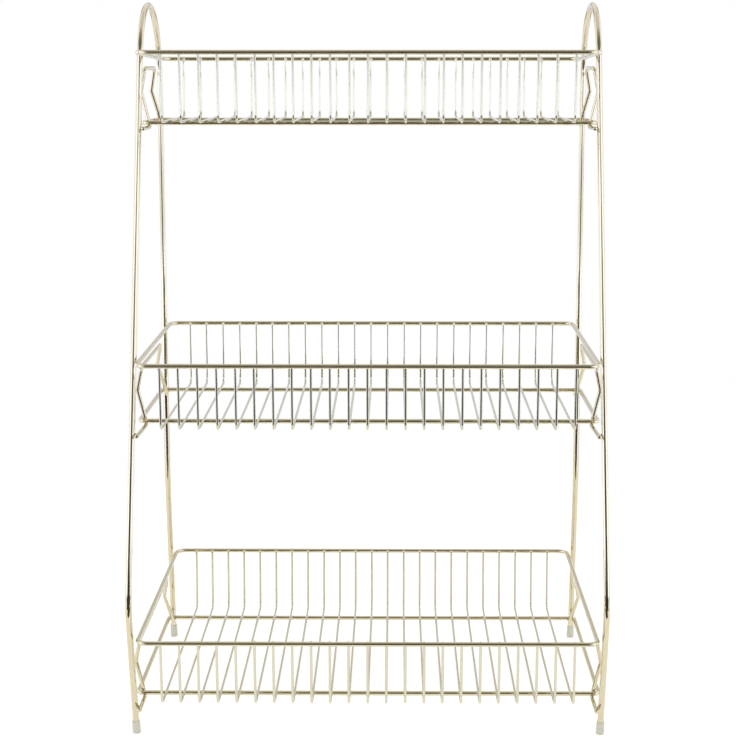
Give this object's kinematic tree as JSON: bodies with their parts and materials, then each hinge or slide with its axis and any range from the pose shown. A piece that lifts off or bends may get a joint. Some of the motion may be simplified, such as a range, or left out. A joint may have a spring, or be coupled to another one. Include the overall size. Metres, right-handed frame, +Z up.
{
  "type": "three tier wire kitchen rack",
  "caption": "Free-standing kitchen rack of brass-plated wire: two bent side hoops on soft feet carry three stepped open wire baskets on welded bracket wires.",
  "frame": {"origin": "on the ground, in the middle of the footprint between the four feet", "axes": "+X to the right of someone facing the rack, +Y to the rear, +Z up"},
  "size_m": [0.404, 0.2848, 0.6186],
  "materials": {
    "brass_plated_wire": "bright brass plating on drawn steel wire",
    "soft_cap": "soft translucent grey moulded plastic"
  },
  "bodies": {
    "root": {"side_hoop_left": "brass_plated_wire", "side_hoop_right": "brass_plated_wire", "rim_top": "brass_plated_wire", "basket_wires_top": "brass_plated_wire", "bracket_top_left": "brass_plated_wire", "bracket_top_right": "brass_plated_wire", "rim_middle": "brass_plated_wire", "basket_wires_middle": "brass_plated_wire", "bracket_middle_left": "brass_plated_wire", "bracket_middle_right": "brass_plated_wire", "rim_bottom": "brass_plated_wire", "basket_wires_bottom": "brass_plated_wire", "bracket_bottom_left": "brass_plated_wire", "bracket_bottom_right": "brass_plated_wire", "foot_cap_front_left": "soft_cap", "foot_cap_front_right": "soft_cap", "foot_cap_rear_left": "soft_cap", "foot_cap_rear_right": "soft_cap"}
  },
  "joints": []
}
